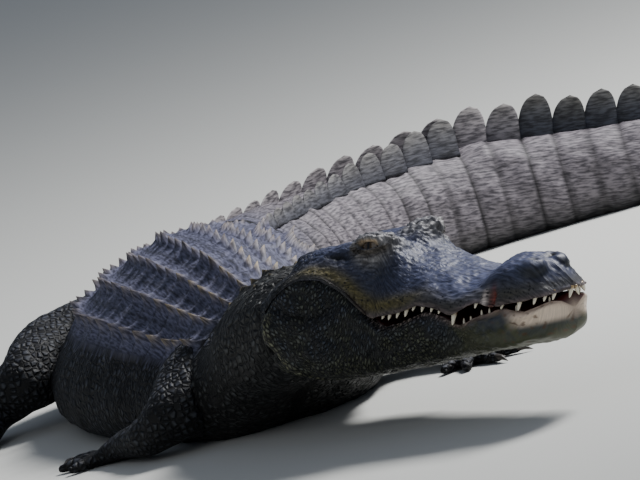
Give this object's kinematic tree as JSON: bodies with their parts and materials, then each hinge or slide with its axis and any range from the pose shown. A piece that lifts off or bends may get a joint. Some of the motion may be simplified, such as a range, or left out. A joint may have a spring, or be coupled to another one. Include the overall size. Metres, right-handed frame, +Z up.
{
  "type": "american alligator",
  "caption": "Life-size still model of an alligator resting on its belly, head turned to its left, trunk and tail curving away behind.",
  "frame": {"origin": "point on the belly's flat under the middle of the trunk, on the floor", "axes": "+X to the viewer's right, +Y away from the viewer who faces the snout, +Z up"},
  "size_m": [1.5297, 1.5706, 0.2273],
  "materials": {
    "head_hide": "smooth tight hide, satin",
    "jaw_hide": "smooth tight hide, satin",
    "back_hide": "dry horny scutes, matt",
    "tail_hide": "dry horny scales, matt",
    "leg_hide": "scaled hide, satin",
    "eye": "polished glass eye",
    "tooth": "polished enamel",
    "claw": "worn horn, satin"
  },
  "bodies": {
    "root": {"head": "head_hide", "lower_jaw": "jaw_hide", "eye_left": "eye", "eye_right": "eye", "neck": "back_hide", "torso_front": "back_hide", "torso_rear": "back_hide", "tail_base": "tail_hide", "tail_middle": "tail_hide", "tail_end": "tail_hide", "front_leg_left": "leg_hide", "front_foot_left": "leg_hide", "hind_leg_left": "leg_hide", "hind_foot_left": "leg_hide", "front_leg_right": "leg_hide", "front_foot_right": "leg_hide", "hind_leg_right": "leg_hide", "hind_foot_right": "leg_hide"}
  },
  "joints": []
}
